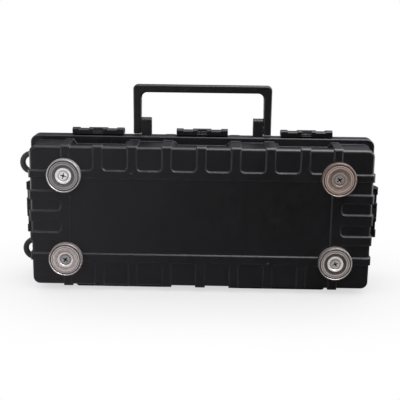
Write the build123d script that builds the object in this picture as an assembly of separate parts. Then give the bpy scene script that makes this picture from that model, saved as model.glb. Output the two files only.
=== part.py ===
from build123d import *
import os
import math

# Rugged portable battery pack: a two-part moulded case with a cell pack,
# protection board and connector panel inside the base half.
# Frame: +Z up, the case stands on its hinge side. X runs along the case,
# the magnet face looks towards -Y, the lid is on the +Y side.
# Origin: centre of the moulded standing foot, on the rest plane.
# H in a size name (HX, HZ) means half size. A place is an (x, z) pair.

os.makedirs("parts", exist_ok=True)

# ---------------------------------------------------------------- case dimensions
CASE_Z = 84.9                      # height of the cavity and rim centre
CASE_HX, CASE_HZ = 183.65, 76.0    # body at the rib surface
SKIN_Z, SKIN_HZ = 82.9, 78.0       # outer skin, thicker on the hinge side
RELIEF = 1.5                       # pads lie this far below the ribs
DRAFT = 0.9                        # how far a pad wall leans back over its height
WALL = 3.0
CORNER_R, EDGE_R = 9.0, 3.2
BASE_Y, PART_Y, LID_Y = -44.0, 3.0, 45.0   # base outer face, parting plane, lid outer face
RIM_GAP = 0.15                     # half gap between the two rims
BASE_RIM_Y, LID_RIM_Y = PART_Y - RIM_GAP, PART_Y + RIM_GAP

RIM_HX, RIM_HZ, RIM_R = 187.2, 80.1, 8.5   # rim flange
RIM_Y0, RIM_Y1 = -7.0, 10.0
RIM_EDGE_R = 1.4
RIM_TOP = CASE_Z + RIM_HZ

IN_HX, IN_HZ = CASE_HX - RELIEF - WALL, CASE_HZ - RELIEF - WALL
IN_Y0, IN_Y1 = BASE_Y + RELIEF + WALL, LID_Y - RELIEF - WALL
CAVITY_R = 5.0

RIB_Z = 83.8                       # centre of the rib layout
RIBS = [(0.0, 9.8), (36.5, 9.8), (73.0, 9.8), (109.5, 9.8), (143.5, 8.7)]  # x, width
PAD_TOP, PAD_BOTTOM, PAD_REACH = RIB_Z + 50.2, RIB_Z - 50.7, 45
PAD_R, CORNER_PAD_R = 4.7, 3.0
SIDE_PADS = [(27.75, 41.9), (5.75, 18.1), (-18.1, -5.75), (-41.9, -27.75)]  # z from RIB_Z
CORNER_PAD_Z, CORNER_PAD_REACH = 49.5, 60
SIDE_PAD_X = 149.5                 # inner end of the side pads
PANEL_HX, PANEL_HZ, PANEL_DEPTH = 139.0, 41.7, 1.2
PANEL_DRAFT = 0.8

GROOVE_HX, GROOVE_HZ, GROOVE_R, GROOVE_W = 183.0, 75.4, 11.0, 2.8
GASKET_GAP = 0.1

HINGE_X, HINGE_L = 85.75, 103.0
HINGE_Y, HINGE_Z, KNUCKLE_R, HINGE_PIN_R = 3.0, 4.5, 4.5, 1.75
KNUCKLE_TOP, KNUCKLE_GAP = 9.2, 0.45
BASE_KNUCKLES = [(-51.5, -31.0), (-10.2, 10.2), (31.0, 51.5)]   # x from the hinge centre
LID_KNUCKLES = [(-30.5, -10.7), (10.7, 30.5)]

# latch frame: x along the rim, y as in the case, z outwards from the rim surface
LATCH_Z = 82.4                     # height of the two end latches
LATCH_HX = 27.9
LATCH_Y0 = -4.4                    # free end of a latch
PIVOT_Y, PIVOT_Z, PIVOT_R = 10.5, 2.7, 2.45
LATCH_PIN_R = 1.2
LATCH_FRAMES = {
    "top_left": Location((-113.5, 0, RIM_TOP)),
    "top_middle": Location((0, 0, RIM_TOP)),
    "top_right": Location((113.5, 0, RIM_TOP)),
    "right_end": Location((RIM_HX, 0, LATCH_Z), (0, 90, 0)),
    "left_end": Location((-RIM_HX, 0, LATCH_Z), (0, -90, 0)),
}

HANDLE_HX, HANDLE_TOP, HANDLE_BOTTOM = 74.9, 220.9, 168.0
HANDLE_Y, HANDLE_PIN_Z, HANDLE_PIN_R = -1.5, 175.4, 3.0
POST_TOP, POST_R = 181.4, 4.0

SEAT_Y = BASE_Y + RELIEF           # magnet seats
MAGNET_R, MAGNET_T = 18.0, 8.0
MAGNET_Y = SEAT_Y - MAGNET_T       # front plane of the magnets
MAGNETS = [(sx * 144.9, 82.9 + sz * 46.1) for sx in (-1, 1) for sz in (-1, 1)]

BOSS_X = 172.5                     # faceplate bosses near the ends
BOSSES = [(sx * BOSS_X, CASE_Z + sz * 64.0) for sx in (-1, 1) for sz in (-1, 1)]
BOSSES += [(91.0, CASE_Z - 64.5), (91.0, CASE_Z + 64.5), (-BOSS_X, CASE_Z)]
PLATE_Y0, PLATE_Y1 = -1.0, 2.0     # faceplate back and front

BOARD_Y0, BOARD_Y1 = -33.0, -31.4
STANDOFFS = [(-168.0, 52.5), (-142.0, 52.5), (-168.0, 112.5), (-142.0, 112.5)]

VENT_Y, VENT_Z = 27.0, 143.0
EYE_Z, EYE_SCREW_Y, EYE_SCREW_DZ = [129.4, 28.6], 25.0, 11.5


# ---------------------------------------------------------------- helpers
def box(x0, x1, y0, y1, z0, z1):
    centre = Pos((x0 + x1) / 2, (y0 + y1) / 2, (z0 + z1) / 2)
    return centre * Box(abs(x1 - x0), abs(y1 - y0), abs(z1 - z0))


def block_at(place, hx, hz, y0, y1):
    """Box centred on a place, given by half sizes in X and Z."""
    x, z = place
    return box(x - hx, x + hx, y0, y1, z - hz, z + hz)


def prism_y(sketch, y0, y1):
    return extrude(Plane.XZ.offset(-y1) * sketch, amount=y1 - y0)


def prism_x(sketch, x0, x1):
    return extrude(Plane.YZ.offset(x0) * sketch, amount=x1 - x0)


def prism_z(sketch, z0, z1):
    return extrude(Plane.XY.offset(z0) * sketch, amount=z1 - z0)


def cyl_y(x, z, radius, y0, y1):
    return prism_y(Pos(x, z) * Circle(radius), y0, y1)


def cyl_x(y, z, radius, x0, x1):
    return prism_x(Pos(y, z) * Circle(radius), x0, x1)


def cyl_z(x, y, radius, z0, z1):
    return prism_z(Pos(x, y) * Circle(radius), z0, z1)


def rrect(hx, hz, radius, z=CASE_Z):
    return Pos(0, z) * RectangleRounded(2 * hx, 2 * hz, radius)


def rspan(x0, x1, z0, z1, radius):
    return Pos((x0 + x1) / 2, (z0 + z1) / 2) * RectangleRounded(x1 - x0, z1 - z0, radius)


def poly(*points):
    return make_face(Polyline(*points, close=True))


def span(side, near, far, mid=0.0):
    """Ordered pair of coordinates at two distances from mid, on one side of it."""
    return sorted((mid + side * near, mid + side * far))


def around(place, radius, count, start=0):
    """Places evenly spaced on a circle, from a start angle in degrees."""
    angles = [math.radians(start + 360 / count * k) for k in range(count)]
    return [(place[0] + radius * math.cos(a), place[1] + radius * math.sin(a)) for a in angles]


def round_end(shape, radius, facing=1):
    """Round the edges of the last face towards +Y, or towards -Y if facing is -1."""
    face = shape.faces().sort_by(Axis.Y)[0 if facing < 0 else -1]
    return fillet(face.edges(), radius)


def turned_y(profile, x, z, y):
    """Solid of revolution about an axis along Y; profile points are (radius, depth),
    depth growing towards +Y from y."""
    return Pos(x, y, z) * revolve(poly(*profile), Axis.Y)


def wire(path, radius):
    return sweep(Plane(origin=path @ 0, z_dir=path % 0) * Circle(radius), path=path)


def save(name, shape):
    """Write one STEP file; a list is written as a compound of its solids."""
    if isinstance(shape, (list, tuple)):
        solids = [solid for item in shape for solid in item.solids()]
        shape = Compound(children=[Solid(solid.wrapped) for solid in solids])
    export_step(shape, f"parts/{name}.step")


# ---------------------------------------------------------------- ribbed half shells
def pad_outlines():
    """Floor outlines of every recessed pad, in the XZ plane."""
    spans = []
    ribs = [(-x, width) for x, width in reversed(RIBS[1:])] + RIBS
    for (xa, wa), (xb, wb) in zip(ribs, ribs[1:]):
        x0, x1 = xa + wa / 2, xb - wb / 2
        spans.append((x0, x1, PAD_TOP, PAD_TOP + PAD_REACH, PAD_R))
        spans.append((x0, x1, PAD_BOTTOM - PAD_REACH, PAD_BOTTOM, PAD_R))
    last_x, last_width = RIBS[-1]
    beyond = CASE_HX + 20
    corner_far = CORNER_PAD_Z + CORNER_PAD_REACH
    for side in (-1, 1):
        x0, x1 = span(side, last_x + last_width / 2, beyond)
        spans.append((x0, x1, RIB_Z + CORNER_PAD_Z, RIB_Z + corner_far, CORNER_PAD_R))
        spans.append((x0, x1, RIB_Z - corner_far, RIB_Z - CORNER_PAD_Z, CORNER_PAD_R))
        x0, x1 = span(side, SIDE_PAD_X, beyond)
        for low, high in SIDE_PADS:
            spans.append((x0, x1, RIB_Z + low, RIB_Z + high, PAD_R))
    inset = DRAFT / 2
    return [rspan(x0 + inset, x1 - inset, z0 + inset, z1 - inset, r - inset)
            for x0, x1, z0, z1, r in spans]


def drafted(sketch, y_floor, y_out, rise, grow):
    """Prism from a floor outline, widening by grow over each rise towards y_out."""
    height = abs(y_out - y_floor)
    angle = -math.degrees(math.atan(grow / rise))
    if y_out < y_floor:
        plane = Plane(origin=(0, y_floor, 0), x_dir=(1, 0, 0), z_dir=(0, -1, 0))
    else:
        plane = Plane(origin=(0, y_floor, 0), x_dir=(-1, 0, 0), z_dir=(0, 1, 0))
        sketch = mirror(sketch, Plane.YZ)
    return extrude(plane * sketch, amount=height, taper=angle)


def half_body(y_out, y_in, facing):
    """Outer skin of one half: ribs over pads, rounded outer edge.
    facing is the Y direction its outer face looks in."""
    y0, y1 = sorted((y_out, y_in))
    y_floor = y_out - facing * RELIEF
    outer = prism_y(rrect(CASE_HX, SKIN_HZ, CORNER_R, SKIN_Z), y0, y1)
    outer = round_end(outer, EDGE_R, facing)
    core_sketch = rrect(CASE_HX - RELIEF, SKIN_HZ - RELIEF, CORNER_R - RELIEF, SKIN_Z)
    core = prism_y(core_sketch, *sorted((y_floor, y_in)))
    core = round_end(core, EDGE_R, facing)
    layer = outer - core
    outlines = pad_outlines()
    pads = [prism_y(outline, y0 - 1, y1 + 1) for outline in outlines]
    body = outer - (layer & (pads[0] + pads[1:]))
    # drafted walls round each pad on the outer face
    body -= [drafted(outline, y_floor, y_out + facing * 0.4, RELIEF, DRAFT)
             for outline in outlines]
    return body


def rim_flange(y0, y1, facing):
    return round_end(prism_y(rrect(RIM_HX, RIM_HZ, RIM_R), y0, y1), RIM_EDGE_R, facing)


def panel_recess(y_face, facing):
    """Cutter for the centre panel of an outer face."""
    inset = PANEL_DRAFT / 2
    floor = rrect(PANEL_HX - inset, PANEL_HZ - inset, 1.2, RIB_Z)
    y_floor = y_face - facing * PANEL_DEPTH
    return drafted(floor, y_floor, y_face + facing * 0.5, PANEL_DEPTH, PANEL_DRAFT)


def groove_outline(inset):
    return rrect(GROOVE_HX - inset, GROOVE_HZ - inset, GROOVE_R - inset)


def hinge_side_hollow(y0, y1):
    """Cutter that thins the hinge side wall to the common wall thickness."""
    return box(-150.0, 150.0, y0, y1, SKIN_Z - SKIN_HZ + RELIEF + WALL, CASE_Z - IN_HZ + 1.0)


def add_hinges(half, block_y, pocket_y, knuckle_y, clear_y, own, mating):
    """Add both hinge sets to a half; each _y argument is a (y0, y1) pair."""
    half_l = HINGE_L / 2
    for side in (-1, 1):
        mid = side * HINGE_X
        block = prism_y(rspan(mid - half_l, mid + half_l, 0.0, 22.0, 3.5), *block_y)
        trim = rspan(mid - 60, mid + 60, 12.0, 30.0, 0.5)
        block -= prism_y(trim, block_y[0] - 1, block_y[1] + 1)
        for k in range(5):
            x = mid - 40.8 + 20.4 * k
            block -= box(x - 8.2, x + 8.2, *pocket_y, -1, 9.0)
        half += block
        for x0, x1 in own:
            knuckle = box(mid + x0, mid + x1, *knuckle_y, 0.0, KNUCKLE_TOP)
            knuckle += cyl_x(HINGE_Y, HINGE_Z, KNUCKLE_R, mid + x0, mid + x1)
            half += knuckle
        for start, end in mating:
            x0, x1 = mid + start - KNUCKLE_GAP, mid + end + KNUCKLE_GAP
            half -= cyl_x(HINGE_Y, HINGE_Z, KNUCKLE_R + KNUCKLE_GAP, x0, x1)
            half -= box(x0, x1, *clear_y, -1, HINGE_Z)
        half -= cyl_x(HINGE_Y, HINGE_Z, HINGE_PIN_R + 0.05, mid - 52, mid + 52)
    return half


# ---------------------------------------------------------------- base shell
SCOOP_X = (-110.0, 0.0, 110.0)
SCOOP_Y0, SCOOP_DEPTH, SCOOP_RAMP = -35.0, 5.0, 6.0
SCOOP_HX_TOP, SCOOP_HX_FLOOR = 31.0, 26.0


def finger_scoop():
    """Tapered scoop cutter: x along the wall, z out of it, wall surface at z = 0."""
    top, floor = SCOOP_HX_TOP + 1.2, SCOOP_HX_FLOOR
    across = poly((-top, 3.0), (top, 3.0), (floor, -SCOOP_DEPTH), (-floor, -SCOOP_DEPTH))
    along = poly((SCOOP_Y0 - 3.0, 3.0), (SCOOP_Y0 + SCOOP_RAMP, -SCOOP_DEPTH),
                 (RIM_Y0, -SCOOP_DEPTH), (RIM_Y0, 3.0))
    return prism_y(across, SCOOP_Y0, RIM_Y0) & prism_x(along, -60, 60)


def base_cavity():
    """Inside of the base, leaving thicker wall behind the scoops."""
    cavity = prism_y(rrect(IN_HX, IN_HZ, CAVITY_R), IN_Y0, PART_Y + 1)
    y0, y1 = -38, RIM_Y0 + 1
    for x in SCOOP_X:
        cavity -= box(x - SCOOP_HX_TOP, x + SCOOP_HX_TOP, y0, y1,
                      CASE_Z + IN_HZ - 3.0, CASE_Z + IN_HZ + 5)
    for side in (-1, 1):
        cavity -= box(*span(side, IN_HX - 3.0, IN_HX + 5), y0, y1,
                      LATCH_Z - SCOOP_HX_TOP, LATCH_Z + SCOOP_HX_TOP)
    return cavity


def add_bosses(base):
    """Magnet seats, faceplate bosses and board stand-offs."""
    root_y = IN_Y0 - 0.5
    for x, z in MAGNETS:
        base += cyl_y(x, z, 8.0, root_y, IN_Y0 + 2.0)
        base -= cyl_y(x, z, MAGNET_R + 0.6, BASE_Y - 1, SEAT_Y)
        base -= cyl_y(x, z, 3.25, SEAT_Y - 1, IN_Y0 + 3)
    for x, z in BOSSES:
        base += cyl_y(x, z, 3.6, root_y, PLATE_Y0)
    # gussets tie the boss feet to the floor
    for place in BOSSES:
        base += block_at(place, 6, 0.9, root_y, IN_Y0 + 5)
    for x, z in BOSSES:
        base -= cyl_y(x, z, 1.55, -14, PLATE_Y0 + 1)
    for x, z in STANDOFFS:
        base += cyl_y(x, z, 2.6, root_y, BOARD_Y0)
        base -= cyl_y(x, z, 1.05, -38.5, -32)
    return base


def add_handle_posts(base):
    for side in (-1, 1):
        x0, x1 = span(side, 55.0, 66.0)
        post = box(x0, x1, HANDLE_Y - POST_R, HANDLE_Y + POST_R, RIM_TOP - 3, POST_TOP)
        post += cyl_x(HANDLE_Y, POST_TOP, POST_R, x0, x1)
        base += post
        base -= cyl_x(HANDLE_Y, HANDLE_PIN_Z, HANDLE_PIN_R + 0.02, *span(side, 54.0, 67.0))
    return base


def standing_foot():
    foot = box(-14.0, 14.0, -15.0, BASE_RIM_Y, 0.0, KNUCKLE_TOP)
    relief_z = HINGE_Z - 0.3
    foot -= prism_x(poly((PART_Y - 3.0, -1.0), (PART_Y - 1.0, relief_z),
                         (PART_Y + 1.0, relief_z), (PART_Y + 1.0, -1.0)), -15.0, 15.0)
    return foot


def base_shell():
    base = half_body(BASE_Y, BASE_RIM_Y, -1)
    base += rim_flange(RIM_Y0, BASE_RIM_Y, -1)
    scoop = finger_scoop()
    for x in SCOOP_X:
        base -= Pos(x, 0, CASE_Z + CASE_HZ) * scoop
    for side in (1, -1):
        base -= Location((side * CASE_HX, 0, LATCH_Z), (0, side * 90, 0)) * scoop
    base -= base_cavity()
    base -= panel_recess(BASE_Y, -1)
    # two small ejector marks
    for x, z in ((-73.4, 132.6), (73.2, 35.2)):
        base -= cyl_y(x, z, 1.3, BASE_Y - 0.5, BASE_Y + 0.35)
    base = add_bosses(base)
    base = add_handle_posts(base)
    base = add_hinges(base, block_y=(-28.0, -5.0), pocket_y=(-25.0, -8.2),
                      knuckle_y=(-8.5, HINGE_Y), clear_y=(-4.9, HINGE_Y + 1),
                      own=BASE_KNUCKLES, mating=LID_KNUCKLES)
    base += standing_foot()
    base -= box(-10.5, 10.5, -12.0, -3.5, -1, 7.5)
    # gasket groove in the rim
    base -= (prism_y(groove_outline(0), 0.0, PART_Y)
             - prism_y(groove_outline(GROOVE_W), 0.0, PART_Y))
    base -= hinge_side_hollow(BASE_Y + 8.0, -10.0)
    return base


save("base_shell", base_shell())


# ---------------------------------------------------------------- lid shell
def stacking_ring():
    ring = prism_y(rrect(118, 30, 8, RIB_Z), LID_Y - PANEL_DEPTH - 0.1, LID_Y + 0.3)
    ring -= prism_y(rrect(115, 27, 5, RIB_Z), LID_Y - 3, LID_Y + 1)
    return ring


def add_latch_lugs(lid):
    outline = poly((7.9, -2.0), (7.9, 0.5), (8.5, PIVOT_Z + 0.4), (PIVOT_Y, PIVOT_Z + 1.2),
                   (PIVOT_Y + 2.3, PIVOT_Z + 0.3), (15.5, -1.6), (15.5, -6.0),
                   (10.1, -6.0), (9.6, -2.0))
    for frame in LATCH_FRAMES.values():
        for x0, x1 in ((-13.6, -10.0), (10.0, 13.6)):
            lug = prism_x(outline, x0, x1)
            lug += cyl_x(PIVOT_Y, PIVOT_Z, PIVOT_R - 0.05, x0, x1)
            lid += frame * lug
    for frame in LATCH_FRAMES.values():
        lid -= frame * cyl_x(PIVOT_Y, PIVOT_Z, LATCH_PIN_R, -15, 15)
    return lid


def rib_runout():
    """Cutter that fades the ribs on the top side out towards the lid face."""
    y0, top = 17.0, CASE_Z + CASE_HZ
    outline = poly((y0, top), (LID_Y - 4.0, top - RELIEF), (LID_Y + 1.0, top - RELIEF - 0.1),
                   (LID_Y + 1.0, top + 2.0), (y0, top + 2.0))
    return prism_x(outline, -CASE_HX - 1, CASE_HX + 1)


def lid_shell():
    lid = half_body(LID_Y, LID_RIM_Y, 1)
    lid += rim_flange(LID_RIM_Y, RIM_Y1, 1)
    lid -= prism_y(rrect(IN_HX, IN_HZ, CAVITY_R), PART_Y, IN_Y1)
    lid -= panel_recess(LID_Y, 1)
    lid += stacking_ring()
    lid = add_hinges(lid, block_y=(11.0, 30.0), pocket_y=(14.2, 27.0),
                     knuckle_y=(HINGE_Y, 14.5), clear_y=(HINGE_Y - 1, 10.9),
                     own=LID_KNUCKLES, mating=BASE_KNUCKLES)
    lid = add_latch_lugs(lid)
    lid -= rib_runout()
    lid -= hinge_side_hollow(14.0, LID_Y - 8.0)
    # vent valve hole in the right end wall
    lid -= cyl_x(VENT_Y, VENT_Z, 6.1, IN_HX - 1, CASE_HX + 3)
    # strap eye screw holes in the left end
    for eye_z in EYE_Z:
        for dz in (-EYE_SCREW_DZ, EYE_SCREW_DZ):
            lid -= cyl_x(EYE_SCREW_Y, eye_z + dz, 1.55, -CASE_HX - 3, -IN_HX + 1)
    return lid


save("lid_shell", lid_shell())


# ---------------------------------------------------------------- gasket and hinge pins
def rim_gasket():
    gasket = prism_y(groove_outline(GASKET_GAP), 0.1, PART_Y + 0.1)
    return gasket - prism_y(groove_outline(GROOVE_W - GASKET_GAP), -0.9, PART_Y + 1)


save("rim_gasket", rim_gasket())
save("hinge_pins", [cyl_x(HINGE_Y, HINGE_Z, HINGE_PIN_R, mid - 50.5, mid + 50.5)
                    for mid in (-HINGE_X, HINGE_X)])


# ---------------------------------------------------------------- latches
def latch_profile(crown):
    """Side outline of a latch in its YZ plane; crown is its greatest height."""
    y0 = LATCH_Y0
    shoulder = (PIVOT_Y + 0.9, PIVOT_Z + PIVOT_R - 0.18)
    under = (PIVOT_Y, PIVOT_Z - PIVOT_R)
    top = Spline((y0, crown - 1.35), (y0 + 1.5, crown - 0.35), (3.6, crown),
                 (7.4, crown - 0.9), shoulder, tangents=[(0.35, 1.0), (1.0, -0.55)])
    arc = ThreePointArc(shoulder, (PIVOT_Y + PIVOT_R, PIVOT_Z), under)
    rest = Polyline(under, (PIVOT_Y - 1.6, 0.9), (y0 + 0.5, 0.9), (y0, 1.4),
                    (y0, crown - 1.35))
    return make_face(Curve() + [top, arc, rest])


def latch():
    y0 = LATCH_Y0
    low, high = latch_profile(6.75), latch_profile(7.75)
    body = prism_x(low, -LATCH_HX, LATCH_HX)
    for x0, x1 in ((-LATCH_HX, -20.6), (-10.0, 10.0), (20.6, LATCH_HX)):
        body += prism_x(high, x0, x1)
    # hollow underside
    body -= box(-26.0, 26.0, y0 + 2.0, 6.3, 0.0, 4.6)
    # slots for the lid lugs
    for x0, x1 in ((-13.9, -9.7), (9.7, 13.9)):
        body -= box(x0, x1, 7.6, 20.0, -1.0, 10.0)
    # stepped thumb notch in the middle of the free end
    body -= box(-5.3, 5.3, y0 - 1.0, y0 + 2.2, 2.4, 10.0)
    body += box(-5.3, 5.3, y0 + 0.7, y0 + 2.4, 2.0, 3.9)
    body += box(-5.3, 5.3, y0 + 1.5, y0 + 2.4, 2.0, 5.5)
    # grip lines across the two low fields
    for x0, x1 in ((-19.2, -11.4), (11.4, 19.2)):
        for y in (-1.4, 0.6, 2.6, 4.6):
            body -= box(x0, x1, y, y + 0.8, 6.2, 9.0)
    body -= cyl_x(PIVOT_Y, PIVOT_Z, LATCH_PIN_R + 0.05, -LATCH_HX - 1, LATCH_HX + 1)
    return body


latch_body = latch()
for frame_name, latch_frame in LATCH_FRAMES.items():
    save(f"latch_{frame_name}", latch_frame * latch_body)
save("latch_pins", [latch_frame * cyl_x(PIVOT_Y, PIVOT_Z, LATCH_PIN_R, -26.5, 26.5)
                    for latch_frame in LATCH_FRAMES.values()])


# ---------------------------------------------------------------- handle
def carry_handle():
    outer = poly((-HANDLE_HX, HANDLE_TOP), (HANDLE_HX, HANDLE_TOP),
                 (74.6, HANDLE_BOTTOM), (-74.6, HANDLE_BOTTOM))
    outer = fillet(outer.vertices().filter_by(lambda v: v.Y > 200), 5.4)
    bar_z = HANDLE_TOP - 8.3       # underside of the bar
    inner = poly((-65.6, bar_z), (65.6, bar_z),
                 (66.4, HANDLE_BOTTOM - 5), (-66.4, HANDLE_BOTTOM - 5))
    inner = fillet(inner.vertices().filter_by(lambda v: v.Y > 200), 6.0)
    handle = prism_y(outer - inner, HANDLE_Y - 4.6, HANDLE_Y + 4.6)
    # round the front and back edges that reach up into the bar
    edges = handle.edges().filter_by(
        lambda e: e.bounding_box().max.Z > HANDLE_TOP - 13 and e.bounding_box().size.Y < 0.1)
    handle = fillet(edges, 1.9)
    for side in (-1, 1):
        handle -= cyl_x(HANDLE_Y, HANDLE_PIN_Z, HANDLE_PIN_R + 0.05, *span(side, 64, 76))
    # finger grip flat under the bar
    handle -= box(-48, 48, HANDLE_Y - 1.6, HANDLE_Y + 1.6, HANDLE_TOP - 9, HANDLE_TOP - 7.3)
    return handle


save("carry_handle", carry_handle())
save("handle_pins", [cyl_x(HANDLE_Y, HANDLE_PIN_Z, HANDLE_PIN_R, *span(side, 57.0, 74.2))
                     for side in (-1, 1)])

# ---------------------------------------------------------------- strap eyes
EYE_X, EYE_R, EYE_HOLE_R, EYE_Y0, EYE_Y1 = -191.6, 13.3, 7.2, 14.2, 20.2
EYE_FOOT_X = -CASE_HX - 0.05       # just clear of the left end wall


def strap_eye(eye_z):
    ring = fillet(cyl_y(EYE_X, eye_z, EYE_R, EYE_Y0, EYE_Y1).edges(), 2.3)
    ring -= cyl_y(EYE_X, eye_z, EYE_HOLE_R, EYE_Y0 - 1, EYE_Y1 + 1)
    hole_edges = ring.edges().filter_by(GeomType.CIRCLE).filter_by(
        lambda e: abs(e.radius - EYE_HOLE_R) < 0.01)
    ring = fillet(hole_edges, 1.8)
    ring &= box(-230, EYE_FOOT_X, 0, 60, eye_z - 30, eye_z + 30)
    foot = prism_x(Pos(21.2, eye_z) * RectangleRounded(14.0, 31.0, 3.0),
                   -CASE_HX - 3.4, EYE_FOOT_X)
    foot -= cyl_y(EYE_X, eye_z, EYE_HOLE_R + 0.5, 10, 40)
    foot = foot & box(-230, 0, EYE_Y0, 40, eye_z - 30, eye_z + 30)
    eye = ring + foot
    for dz in (-EYE_SCREW_DZ, EYE_SCREW_DZ):
        eye -= cyl_x(EYE_SCREW_Y, eye_z + dz, 1.7, -200, -180)
    return eye


def strap_eye_screw(z):
    y = EYE_SCREW_Y
    head = cyl_x(y, z, 2.9, -CASE_HX - 5.0, -CASE_HX - 3.42)
    head -= box(-190, -CASE_HX - 4.2, y - 0.4, y + 0.4, z - 4, z + 4)
    return head + cyl_x(y, z, 1.5, -CASE_HX - 3.5, -IN_HX - 0.1)


save("strap_eyes", [strap_eye(eye_z) for eye_z in EYE_Z])
save("strap_eye_screws", [strap_eye_screw(eye_z + dz) for eye_z in EYE_Z
                          for dz in (-EYE_SCREW_DZ, EYE_SCREW_DZ)])

# ---------------------------------------------------------------- magnets
# turned profiles: (radius, depth from the front plane of the magnets)
MAGNET_PROFILES = {
    "magnet_cups": [(3.2, 4.25), (6.75, 0.7), (8.5, 0.7), (8.5, 5.6), (16.7, 5.6),
                    (16.7, 0.5), (17.1, 0.0), (17.6, 0.0), (MAGNET_R, 0.5),
                    (MAGNET_R, 7.6), (17.6, MAGNET_T), (3.2, MAGNET_T)],
    "magnet_rings": [(8.7, 2.0), (12.0, 0.35), (15.3, 0.35), (15.3, 5.58), (8.7, 5.58)],
    "magnet_potting": [(15.34, 1.1), (16.66, 1.1), (16.66, 5.58), (15.34, 5.58)],
}
SCREW_PROFILE = [(0.0, 0.75), (4.8, 0.75), (6.0, 1.1), (6.0, 1.2), (3.0, 4.2),
                 (3.0, 20.3), (2.6, 20.9), (0.0, 20.9)]
SCREW_TURNS = [37, 12, 70, 55]     # how each screw's cross recess is turned, degrees
WASHER_Y0, WASHER_Y1 = IN_Y0 + 2.0, IN_Y0 + 3.5


def magnet_screw(x, z, turn):
    """Countersunk screw with a cross recess."""
    screw = turned_y(SCREW_PROFILE, x, z, MAGNET_Y)
    for quarter in (0, 90):
        screw -= Pos(x, MAGNET_Y + 1.4, z) * Rot(0, turn + quarter, 0) * Box(6.2, 2.6, 1.15)
    screw -= turned_y([(0, 0.5), (1.5, 0.5), (0.0, 4.4)], x, z, MAGNET_Y)
    return screw


def magnet_washer(x, z):
    return cyl_y(x, z, 7.0, WASHER_Y0, WASHER_Y1) - cyl_y(x, z, 3.2, IN_Y0, IN_Y0 + 6)


def magnet_nut(x, z):
    nut = prism_y(Pos(x, z) * RegularPolygon(5.77, 6), WASHER_Y1, WASHER_Y1 + 5.0)
    return nut - cyl_y(x, z, 3.02, IN_Y0, IN_Y0 + 12)


for part_name, part_profile in MAGNET_PROFILES.items():
    save(part_name, [turned_y(part_profile, x, z, MAGNET_Y) for x, z in MAGNETS])
save("magnet_screws", [magnet_screw(x, z, turn)
                       for (x, z), turn in zip(MAGNETS, SCREW_TURNS)])
save("magnet_washers", [magnet_washer(x, z) for x, z in MAGNETS])
save("magnet_nuts", [magnet_nut(x, z) for x, z in MAGNETS])

# ---------------------------------------------------------------- cells
CELL_R, CELL_HL = 16.1, 34.25      # cell radius and half length
CELL_Y = -20.9
CELL_X = [-101.0, -26.5, 48.0]
CELL_PITCH = 34
CELL_Z = [CASE_Z + k * CELL_PITCH for k in (-1.5, -0.5, 0.5, 1.5)]


def battery_cell(x, z, side):
    """One cell along X, its raised terminal towards side."""
    cell = cyl_x(CELL_Y, z, CELL_R, x - CELL_HL, x + CELL_HL)
    cell = fillet(cell.edges(), 1.0)
    return cell + cyl_x(CELL_Y, z, 6.0, *span(side, CELL_HL - 0.5, CELL_HL + 1.0, x))


def cell_holder(x, side):
    x0, x1 = span(side, CELL_HL - 7.5, CELL_HL + 0.6, x)
    holder = prism_x(Pos(CELL_Y, CASE_Z) * RectangleRounded(36.4, 136.4, 4.0), x0, x1)
    for z in CELL_Z:
        holder -= cyl_x(CELL_Y, z, CELL_R + 0.12, x0 - 1, x1 + 1)
    return holder


def nickel_strip(x, side, rows):
    """Slotted strip joining the cells in the given rows."""
    x0, x1 = span(side, CELL_HL + 1.02, CELL_HL + 1.42, x)
    strip = box(x0, x1, CELL_Y - 5.0, CELL_Y + 5.0, CELL_Z[rows[0]] - 8.0, CELL_Z[rows[-1]] + 8.0)
    for row in rows:
        z = CELL_Z[row]
        strip -= box(x0 - 1, x1 + 1, CELL_Y - 0.5, CELL_Y + 0.5, z - 3.5, z + 3.5)
    return strip


STRIP_ROWS = {-1: [(0, 1), (2, 3)], 1: [(0,), (1, 2), (3,)]}   # cell rows joined, by side

save("battery_cells", [battery_cell(x, z, 1 if row % 2 == 0 else -1)
                       for x in CELL_X for row, z in enumerate(CELL_Z)])
save("cell_holders", [cell_holder(x, side) for x in CELL_X for side in (-1, 1)])
save("nickel_strips", [nickel_strip(x, side, rows) for x in CELL_X
                       for side in (-1, 1) for rows in STRIP_ROWS[side]])
save("cell_foam_sheet",
     box(CELL_X[0] - 33, CELL_X[2] + 33, -2.65, -1.1, CASE_Z - 60, CASE_Z + 60))

# ---------------------------------------------------------------- protection board
MOUNT_Y = BOARD_Y1 + 0.02          # components and screw heads sit here
CHIP_Y1 = -29.2
SINK_X0, SINK_Z0, SINK_Z1 = -151.5, 57.0, 108.0


def protection_board():
    board = box(-171.5, -138.7, BOARD_Y0, BOARD_Y1, 49.0, 116.0)
    for x, z in STANDOFFS:
        board -= cyl_y(x, z, 1.2, -35, -30)
    # clearance for the faceplate boss at the left end
    board -= cyl_y(-BOSS_X, CASE_Z, 4.4, -35, -30)
    return board


def board_components():
    items = []
    for k in range(6):
        z = 58.0 + 8.4 * k
        items.append(box(-149.5, -141.5, MOUNT_Y, CHIP_Y1, z, z + 6.2))
    items.append(box(-167.0, -157.0, MOUNT_Y, -29.8, 60.0, 70.0))
    items.append(box(-166.0, -158.0, MOUNT_Y, -30.0, 74.0, 79.0))
    for k in range(3):
        items.append(cyl_y(-163.5, 88.0 + 7.5 * k, 3.0, MOUNT_Y, -23.5))
    return items


def board_heatsink():
    sink = box(SINK_X0, -140.0, CHIP_Y1 + 0.02, -27.4, SINK_Z0, SINK_Z1)
    for k in range(5):
        x = SINK_X0 + 2.5 * k
        sink += box(x, x + 1.2, -27.6, -20.5, SINK_Z0, SINK_Z1)
    return sink


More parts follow.
